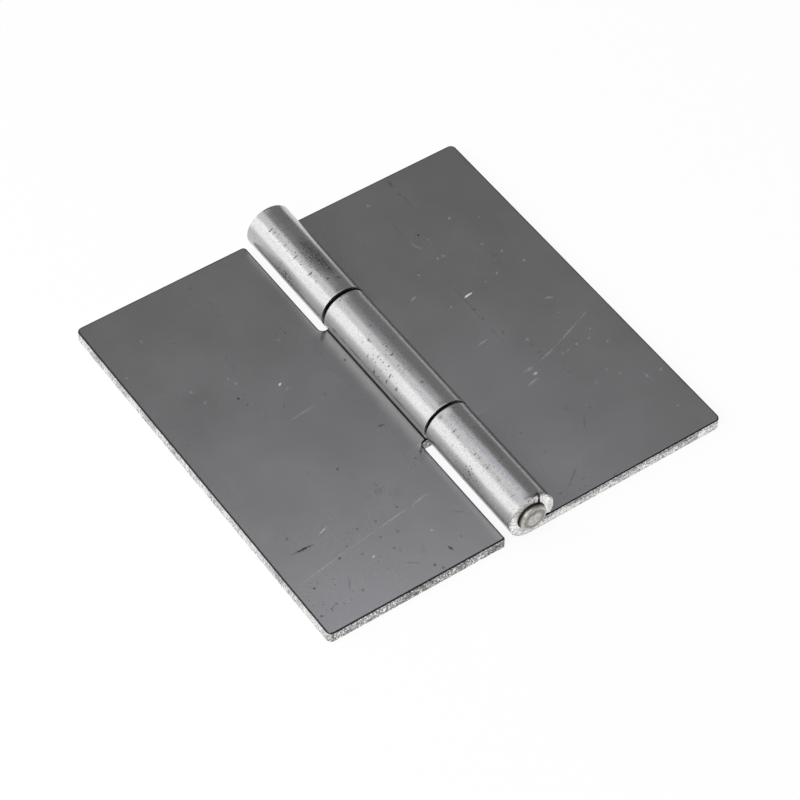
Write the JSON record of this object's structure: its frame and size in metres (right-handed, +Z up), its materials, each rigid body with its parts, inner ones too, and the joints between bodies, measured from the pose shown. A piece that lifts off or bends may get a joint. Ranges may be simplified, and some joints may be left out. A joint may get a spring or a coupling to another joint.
{
  "type": "butt hinge",
  "caption": "Plain weld-on butt hinge: two pressed steel leaves rolled into knuckles round a steel pin, shown laid open flat.",
  "frame": {"origin": "underside of the open leaves, below the middle of the pin's axis", "axes": "+Y along the pin to the far end, +X toward the leaf with two knuckles, +Z up from the underside toward the barrel"},
  "size_m": [0.0912, 0.0924, 0.0103],
  "materials": {
    "leaf_steel": "plain cold-rolled sheet, satin, unpainted, with sheared edges",
    "pin_steel": "bright drawn wire, ends upset"
  },
  "bodies": {
    "fixed_side": {"two_knuckle_leaf": "leaf_steel", "hinge_pin": "pin_steel"},
    "swinging_side": {"centre_knuckle_leaf": "leaf_steel"}
  },
  "joints": [
    {"name": "leaf_hinge", "type": "hinge", "parent": "fixed_side", "child": "swinging_side", "pos_m": [0, 0, 0.00513], "axis": [0, 1, 0], "range_deg": [-92, 186]}
  ]
}
